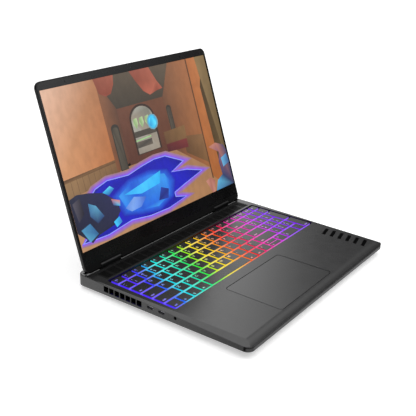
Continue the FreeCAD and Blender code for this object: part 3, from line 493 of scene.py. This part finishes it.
def text_mesh(text, size):
    """Flat letters with their upper left corner at the origin."""
    curve = bpy.data.curves.new("legend", "FONT")
    curve.body = text
    curve.size = size
    curve.resolution_u = 2
    curve.offset = LETTER_WEIGHT
    curve.align_y = "TOP"
    letters = bpy.data.objects.new("legend", curve)
    bpy.context.scene.collection.objects.link(letters)
    shaped = letters.evaluated_get(bpy.context.evaluated_depsgraph_get())
    mesh = bpy.data.meshes.new_from_object(shaped)
    bpy.data.objects.remove(letters)
    return mesh


def legends_of(low, high, text):
    """The legends of one keycap: text, size, and the place of its upper left corner."""
    left, top = low.x + LEGEND_LEFT, high.y - LEGEND_TOP
    shallow = high.y - low.y < SHALLOW_KEY
    if text in UPPER_SIGNS and not shallow:
        return [(UPPER_SIGNS[text], SIGN_SIZE, left, top),
                (text, LETTER_SIZE, left, top - LETTER_DROP)]
    if len(text) == 1:
        return [(text, LETTER_SIZE, left, top)]
    if shallow:
        return [(text, WORD_SIZE, left, top - WORD_DROP), ("-", WORD_SIZE, left, top - MARK_DROP)]
    return [(text, WORD_SIZE, left, low.y + WORD_HEIGHT)]


def print_legends(material):
    """One flat piece of legends for each group of keycaps."""
    for group, texts in LEGENDS.items():
        boxes = keycap_boxes(group)
        assert len(boxes) == len(texts), (group, len(boxes))
        whole = bmesh.new()
        for (low, high), text in zip(boxes, texts):
            for words, size, x, y in legends_of(low, high, text):
                mesh = text_mesh(words, size)
                mesh.transform(Matrix.Translation((x, y, high.z + PRINT_LIFT)))
                whole.from_mesh(mesh)
        piece = make_object(group + "_legends", whole, material)
        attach(piece, group)


# ---- The screen's picture ----

ARCH_STEPS = 12
ARCH_RISE = 1.3           # height of an arch over half its width
SHARPEST = 0.5            # limits how far a sharp corner is moved


def arch(left, right, foot, top):
    """A doorway's outline: straight sides and a half-ellipse on top."""
    middle, half = (left + right) / 2, (right - left) / 2
    spring = top - ARCH_RISE * half
    points = [(left, foot), (right, foot)]
    for i in range(ARCH_STEPS + 1):
        turn = math.pi * i / ARCH_STEPS
        points.append((middle + half * math.cos(turn), spring + (top - spring) * math.sin(turn)))
    return points


def grown(points, distance):
    """A closed outline moved outward along its corners' bisectors."""
    moved = []
    corners = [Vector(point) for point in points]
    for before, here, after in zip(corners[-1:] + corners, corners, corners[1:] + corners[:1]):
        first, second = (here - before).normalized(), (after - here).normalized()
        along = (first + second).normalized()
        out = Vector((along.y, -along.x))
        reach = distance / max(SHARPEST, abs(along.dot(first)))
        moved.append(tuple(here + out * reach))
    return moved


class Canvas:
    """Flat coloured polygons in layers, in the picture's own 0..1 square."""

    def __init__(self):
        self.mesh = bmesh.new()
        self.paint = self.mesh.verts.layers.float_color.new("paint")
        self.layer = 0

    def corner(self, point, code):
        """A coloured corner on the current layer, kept inside the picture."""
        u = min(max(point[0], 0.0), 1.0)
        v = min(max(point[1], 0.0), 1.0)
        depth = PANEL_W - (1 + self.layer) * LAYER
        vert = self.mesh.verts.new(on_lid((u - 0.5) * SCREEN_W, v * SCREEN_H, depth))
        vert[self.paint] = (*rgb(code), 1)
        return vert

    def shape(self, points, *codes):
        """A polygon. Its corners take the codes in turn."""
        self.layer += 1
        corners = [self.corner(p, codes[i % len(codes)]) for i, p in enumerate(points)]
        self.mesh.faces.new(corners)

    def band(self, inner, outer, inner_code, outer_code):
        """A strip between two outlines that fades from one colour to the other."""
        self.layer += 1
        rungs = [(self.corner(a, inner_code), self.corner(b, outer_code))
                 for a, b in zip(inner, outer)]
        for (a, b), (c, d) in zip(rungs, rungs[1:] + rungs[:1]):
            self.mesh.faces.new((a, b, d, c))


def paint_hall(canvas):
    """A warm panelled hall, seen down its length."""
    canvas.shape([(0, 0), (1, 0), (1, 0.4), (0, 0.4)], "b98c66", "a8784e", "9a6e4c", "a87e5c")
    canvas.shape([(0, 0.45), (0.28, 0.47), (0.28, 1), (0, 1)], "cf9468", "b46e3e", "ad7752",
                 "e2b89e")
    canvas.shape([(0.28, 0.38), (0.36, 0.42), (0.36, 0.78), (0.28, 1)], "7a4c30", "5c3a2a",
                 "5e4030", "8a5c40")
    canvas.shape([(0.36, 0.78), (0.65, 0.78), (0.73, 1), (0.28, 1)], "3f382e", "443b30",
                 "5f5242", "564a3c")
    canvas.shape([(0.36, 0.40), (0.65, 0.40), (0.65, 0.78), (0.36, 0.78)], "573226", "5c3526",
                 "6e4530", "6a4332")
    canvas.shape([(0.65, 0.40), (0.86, 0.18), (0.86, 1), (0.73, 1), (0.65, 0.78)], "6b432e",
                 "9c6238", "a46a44", "8c5e40", "6f4a34")
    canvas.shape([(0.86, 0.12), (0.95, 0), (0.95, 1), (0.86, 1)], "a8622e", "a05c2a",
                 "b87444", "b26c3e")
    canvas.shape([(0.935, 0), (1, 0), (1, 1), (0.925, 1), (0.935, 0.84), (0.92, 0.78)],
                 "54401f", "64502f", "7a6440", "8c744e", "4c3a20", "4a381e")
    canvas.shape([(0, 0.33), (0.28, 0.37), (0.28, 0.47), (0, 0.45)], "8e6e4c", "6e5036",
                 "80603e", "9c7a54")
    canvas.shape([(0, 0.428), (0.28, 0.452), (0.28, 0.47), (0, 0.45)], "7a5a3a", "5c402a")
    canvas.shape([(0.72, 0.35), (0.86, 0.22), (0.86, 0.44), (0.72, 0.47)], "5c4026", "7c5834",
                 "8a6440", "6a4a2e")
    for i in range(1, 9):
        u = 0.031 * i
        canvas.shape([(u, 0.333 + 0.14 * u), (u + 0.002, 0.333 + 0.14 * u),
                      (u + 0.002, 0.43 + 0.08 * u), (u, 0.43 + 0.08 * u)], "6c5036")
    canvas.shape([(0.855, 0.1), (0.863, 0.1), (0.863, 1), (0.855, 1)], "5c3c24")


def paint_furnishing(canvas):
    """Drapes, doorway, side arches and a bench."""
    canvas.shape([(0.27, 1), (0.385, 1), (0.375, 0.94), (0.35, 0.885), (0.32, 0.875),
                  (0.285, 0.90)], "8e4c38", "a05844", "a4523c", "8c4430", "93483a", "84412f")
    canvas.shape([(0.48, 1), (0.605, 1), (0.635, 0.90), (0.662, 0.84), (0.62, 0.832),
                  (0.575, 0.815), (0.54, 0.85), (0.505, 0.93)], "8c4a3a", "a65c48", "aa5e48",
                 "a4523e", "8e4634", "b8624c", "a8543e", "8a4634")
    canvas.shape(arch(0.415, 0.57, 0.445, 0.775), "3a2a22")
    canvas.shape(arch(0.425, 0.56, 0.45, 0.76), "8f867a", "9a8f80", "a9a99f", "a0a096",
                 "8a8a80", "7c7c72")
    canvas.shape([(0.425, 0.56), (0.56, 0.56), (0.56, 0.60), (0.425, 0.60)], "4c463e")
    canvas.shape([(0.425, 0.535), (0.52, 0.542), (0.52, 0.55), (0.425, 0.543)], "9fd08a")
    canvas.shape([(0.425, 0.49), (0.52, 0.49), (0.52, 0.53), (0.425, 0.53)], "4a4640", "6a6054")
    for i in range(3):
        u = 0.432 + 0.036 * i
        canvas.shape([(u, 0.65), (u + 0.014, 0.615), (u + 0.028, 0.65), (u + 0.026, 0.69),
                      (u + 0.004, 0.685)], "b9cf9a", "8fae78", "c0d8a8")
    glow = [(0.548 + 0.022 * math.cos(t * math.pi / 6), 0.635 + 0.042 * math.sin(t * math.pi / 6))
            for t in range(12)]
    canvas.band(glow, grown(glow, 0.012), "2fb4e6", "7c9ca4")
    canvas.shape(glow, "39c8f4", "2a9fe0", "5fe0ff")
    canvas.shape(arch(0.30, 0.345, 0.385, 0.69), "37332c")
    canvas.shape(arch(0.306, 0.339, 0.39, 0.67), "4c463c", "453e34", "5a5346")
    canvas.shape(arch(0.652, 0.684, 0.53, 0.715), "3c352c")
    canvas.shape(arch(0.657, 0.679, 0.535, 0.70), "544c40", "4a4238")
    canvas.shape([(0.60, 0.40), (0.74, 0.39), (0.745, 0.545), (0.60, 0.54)], "5c4028", "7a5838",
                 "86643e", "6a4c30")
    canvas.shape([(0.60, 0.40), (0.74, 0.385), (0.74, 0.45), (0.60, 0.455)], "4a1c20", "6c2a2c",
                 "7c3432", "5c2426")


# Outlines of the pool of light and of its bright middle, clockwise
POOL = [(0.02, 0.05), (0.10, 0.12), (0.05, 0.24), (0.14, 0.335), (0.21, 0.36), (0.33, 0.345),
        (0.42, 0.37), (0.50, 0.385), (0.57, 0.38), (0.675, 0.305), (0.585, 0.26),
        (0.69, 0.235), (0.785, 0.19), (0.66, 0.15), (0.575, 0.12), (0.575, 0.085),
        (0.64, 0.06), (0.52, 0.035), (0.40, 0.04), (0.29, 0.065), (0.15, 0.04)]
LAKE = [(0.25, 0.24), (0.33, 0.29), (0.45, 0.30), (0.54, 0.27), (0.565, 0.20), (0.54, 0.12),
        (0.46, 0.075), (0.36, 0.10), (0.28, 0.13)]


def paint_pool(canvas):
    """A jagged pool of blue light on the floor, with a bright violet rim."""
    outline, lake = POOL[::-1], LAKE[::-1]
    canvas.band(grown(outline, 0.004), grown(outline, 0.035), "8a50f4", "a07a70")
    canvas.band(outline, grown(outline, 0.009), "a8b8ff", "6434f8")
    canvas.shape(outline, "1616a8", "1a1cc0", "10108c")
    canvas.band(lake, grown(lake, 0.035), "2468e0", "1818b0")
    canvas.shape(lake, "2a7ae8", "1f5cd8", "3a9cf0")
    canvas.shape([(0.28, 0.235), (0.40, 0.265), (0.52, 0.30), (0.50, 0.22), (0.38, 0.20)],
                 "2fb0f8", "45c4ff", "34b4f4")
    canvas.shape([(0.27, 0.15), (0.33, 0.20), (0.40, 0.17), (0.36, 0.12), (0.30, 0.115)],
                 "5a86e0", "7aa4ec", "4468d0")
    canvas.shape([(0.47, 0.11), (0.50, 0.19), (0.545, 0.16), (0.53, 0.10)], "1c2a80", "2440a8")


def paint_crystals(canvas):
    """Dark crystal clusters in the lower corners, lit from the pool."""
    canvas.shape([(0, 0.33), (0.04, 0.345), (0.10, 0.33), (0.17, 0.30), (0.235, 0.22),
                  (0.24, 0.15), (0.19, 0.08), (0.10, 0.06), (0.06, 0.03), (0, 0.12)],
                 "20243a", "2a2c44", "1a1c34", "24284c", "3a3050", "28284c", "1c1e3c")
    canvas.shape([(0.01, 0.30), (0.05, 0.32), (0.055, 0.22), (0.02, 0.18)], "54505c", "34303c",
                 "1c1a28", "3c3a48")
    canvas.shape([(0.085, 0.27), (0.12, 0.24), (0.15, 0.16), (0.11, 0.13), (0.08, 0.19)],
                 "3f7ea8", "5aa0c4", "2c4c80", "24305c", "345a88")
    canvas.shape([(0.02, 0.13), (0.07, 0.15), (0.10, 0.07), (0.05, 0.04)], "4a90b8", "3a7aa8",
                 "2a5c90", "58a8cc")
    canvas.shape([(0.17, 0.30), (0.215, 0.325), (0.235, 0.30), (0.20, 0.27)], "3cc0f0", "6ae0ff",
                 "2f80c8", "2c60a0")
    canvas.shape([(0.205, 0.245), (0.25, 0.215), (0.245, 0.18), (0.21, 0.20)], "b46a70",
                 "e08878", "38b8e8", "30488c")
    canvas.shape([(0.19, 0.10), (0.225, 0.12), (0.235, 0.08), (0.20, 0.06)], "42d0ff",
                 "30a8e8", "2c70c0")
    canvas.shape([(0.875, 0.33), (0.93, 0.345), (0.985, 0.31), (1, 0.26), (1, 0), (0.86, 0),
                  (0.885, 0.07), (0.93, 0.10), (0.925, 0.20), (0.94, 0.27)], "c08070",
                 "b87868", "46486c", "3c4068", "2c3458", "4a90c0", "5ab0d8", "30406c",
                 "34406c", "906070")
    canvas.shape([(0.945, 0.22), (0.99, 0.24), (1, 0.17), (0.95, 0.15)], "6ab0d8", "4a88c0",
                 "35548c")
    canvas.shape([(0.80, 0.10), (0.835, 0.115), (0.865, 0.08), (0.85, 0.0), (0.83, 0.0)],
                 "c48878", "b07060", "a46458")


def light_screen():
    """The lit picture, just in front of the panel. It lights nothing else."""
    canvas = Canvas()
    paint_hall(canvas)
    paint_furnishing(canvas)
    paint_pool(canvas)
    paint_crystals(canvas)
    picture = make_object("screen_picture", canvas.mesh, picture_material())
    picture.visible_glossy = False
    picture.visible_diffuse = False
    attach(picture, "lid")


# ---- Studio ----

FLOOR_R = 5.0
WALL_TOP = 6.0
SEGMENTS = 96
BEND_R = 1.5
BEND_STEPS = 8
FLOOR_DARK, FLOOR_PALE, FLOOR_PATCH = 0.78, 0.80, 0.4
FLOOR_GLOW = 0.46
SKY_LOW, SKY_HIGH = 0.03, 1.2           # brightness low down and overhead
SKY_START, SKY_END = 0.3, 0.95          # sines of the heights between which it rises
# Soft upright light panels in the sky, in degrees: azimuth of the middle, half-widths of
# the bright part and of the whole, lower and upper edge, and then the brightness.
PANELS = [(48, 5, 16, 8, 62, 1.6), (148, 6, 24, 14, 60, 2.0), (-34, 8, 34, -60, -14, 1.5),
          (-6, 6, 24, 42, 80, 1.4), (105, 35, 60, 40, 80, 1.1), (-149, 35, 65, -60, -10, 1.2),
          (124, 10, 40, -60, -16, 0.9), (-120, 15, 50, 15, 60, 0.5)]
PANEL_EDGE = 5.0                        # degrees to each side over which an edge fades


def studio_material():
    """Dull white, faintly glowing, so that the ground is as pale as the sky."""
    material, tree, shader = new_material("studio_white")
    shade = spread(tree, noise(tree, object_coords(tree), FLOOR_PATCH), FLOOR_DARK, FLOOR_PALE)
    grey = add(tree, "ShaderNodeCombineColor", links={0: shade, 1: shade, 2: shade})
    tree.links.new(grey.outputs[0], shader.inputs["Base Color"])
    shader.inputs["Roughness"].default_value = 1.0
    shader.inputs["Specular IOR Level"].default_value = 0.0
    shader.inputs["Emission Color"].default_value = (*WHITE, 1)
    shader.inputs["Emission Strength"].default_value = FLOOR_GLOW
    return material


def stage_piece(name, mesh, material):
    """A piece of the studio, which isn't part of the laptop."""
    made = make_object(name, mesh, material)
    return made


def ring(mesh, radius, height):
    """Points round a level circle."""
    turns = [2 * math.pi * k / SEGMENTS for k in range(SEGMENTS)]
    return [mesh.verts.new((radius * math.cos(t), radius * math.sin(t), height)) for t in turns]


def make_studio():
    """A round white floor and the wall that curves up around it."""
    material = studio_material()
    floor = bmesh.new()
    floor.faces.new(ring(floor, FLOOR_R, 0))
    stage_piece("floor", floor, material).visible_glossy = False
    wall = bmesh.new()
    rings = []
    for i in range(BEND_STEPS + 1):
        turn = math.pi / 2 * i / BEND_STEPS
        rings.append(ring(wall, FLOOR_R + BEND_R * math.sin(turn), BEND_R * (1 - math.cos(turn))))
    rings.append(ring(wall, FLOOR_R + BEND_R, WALL_TOP))
    for low, high in zip(rings, rings[1:]):
        for k in range(SEGMENTS):
            n = (k + 1) % SEGMENTS
            wall.faces.new((low[k], low[n], high[n], high[k]))
    backdrop = stage_piece("backdrop", wall, material)
    backdrop.visible_glossy = False
    backdrop.visible_diffuse = False


def smooth(tree, value, start, end):
    """0 at start and 1 at end, easing in and out."""
    made = add(tree, "ShaderNodeMapRange", settings={"interpolation_type": "SMOOTHSTEP"},
               inputs={"From Min": start, "From Max": end}, links={"Value": value})
    return made.outputs["Result"]


def add_panel(tree, heading, height, total, panel):
    """Adds one light panel to the sky's brightness so far."""
    azimuth, inner, outer, low, high, brightness = panel
    turn = math.radians(azimuth)
    middle = (math.sin(turn), math.cos(turn), 0)
    facing = vector_maths(tree, "DOT_PRODUCT", heading, middle)
    across = smooth(tree, facing.outputs["Value"], math.cos(math.radians(outer)),
                    math.cos(math.radians(inner)))
    edges = (low - PANEL_EDGE, low + PANEL_EDGE, high + PANEL_EDGE, high - PANEL_EDGE)
    sines = [math.sin(math.radians(angle)) for angle in edges]
    above = smooth(tree, height, sines[0], sines[1])
    below = smooth(tree, height, sines[2], sines[3])
    upright = maths(tree, "MULTIPLY", above, below)
    window = maths(tree, "MULTIPLY", across, upright)
    return maths(tree, "MULTIPLY_ADD", window, brightness, total)


def light_studio():
    """A sky that is bright overhead, with the soft panels around it."""
    world = bpy.data.worlds.new("studio_sky")
    bpy.context.scene.world = world
    world.use_nodes = True
    tree = world.node_tree
    direction = add(tree, "ShaderNodeTexCoord").outputs["Generated"]
    height = add(tree, "ShaderNodeSeparateXYZ", links={"Vector": direction}).outputs["Z"]
    total = spread(tree, height, SKY_LOW, SKY_HIGH, SKY_START, SKY_END)
    level = vector_maths(tree, "MULTIPLY", direction, (1, 1, 0))
    heading = vector_maths(tree, "NORMALIZE", level.outputs[0]).outputs[0]
    for panel in PANELS:
        total = add_panel(tree, heading, height, total, panel)
    background = tree.nodes["Background"]
    tree.links.new(total, background.inputs["Strength"])
    background.inputs["Color"].default_value = (*WHITE, 1)


def place_camera():
    """A camera that looks at AIM from DISTANCE, with a slight roll."""
    back = Vector((math.sin(AZIMUTH) * math.cos(ELEVATION),
                   -math.cos(AZIMUTH) * math.cos(ELEVATION), math.sin(ELEVATION)))
    right = Vector((0, 0, 1)).cross(back).normalized()
    up = back.cross(right)
    rolled = math.cos(ROLL) * right + math.sin(ROLL) * up
    upright = -math.sin(ROLL) * right + math.cos(ROLL) * up
    data = bpy.data.cameras.new("camera")
    data.lens = LENS
    data.shift_y = SHIFT_Y
    camera = bpy.data.objects.new("camera", data)
    turned = Matrix((rolled, upright, back)).transposed()
    camera.matrix_world = Matrix.Translation(AIM + back * DISTANCE) @ turned.to_4x4()
    bpy.context.scene.collection.objects.link(camera)
    bpy.context.scene.camera = camera


place_camera()
bpy.context.scene.view_settings.view_transform = "Standard"
light_studio()
make_studio()
finish_parts()
print_legends(glow_material("legend_glow", LEGEND_PALE, LEGEND_GLOW))
# dull dark finish for the painted shade in the touchpad's gap
paint_gap_shade(surface("seam_shade", "050505", 0.7, grain=0.3, depth=0.002, specular=0.1))
light_screen()
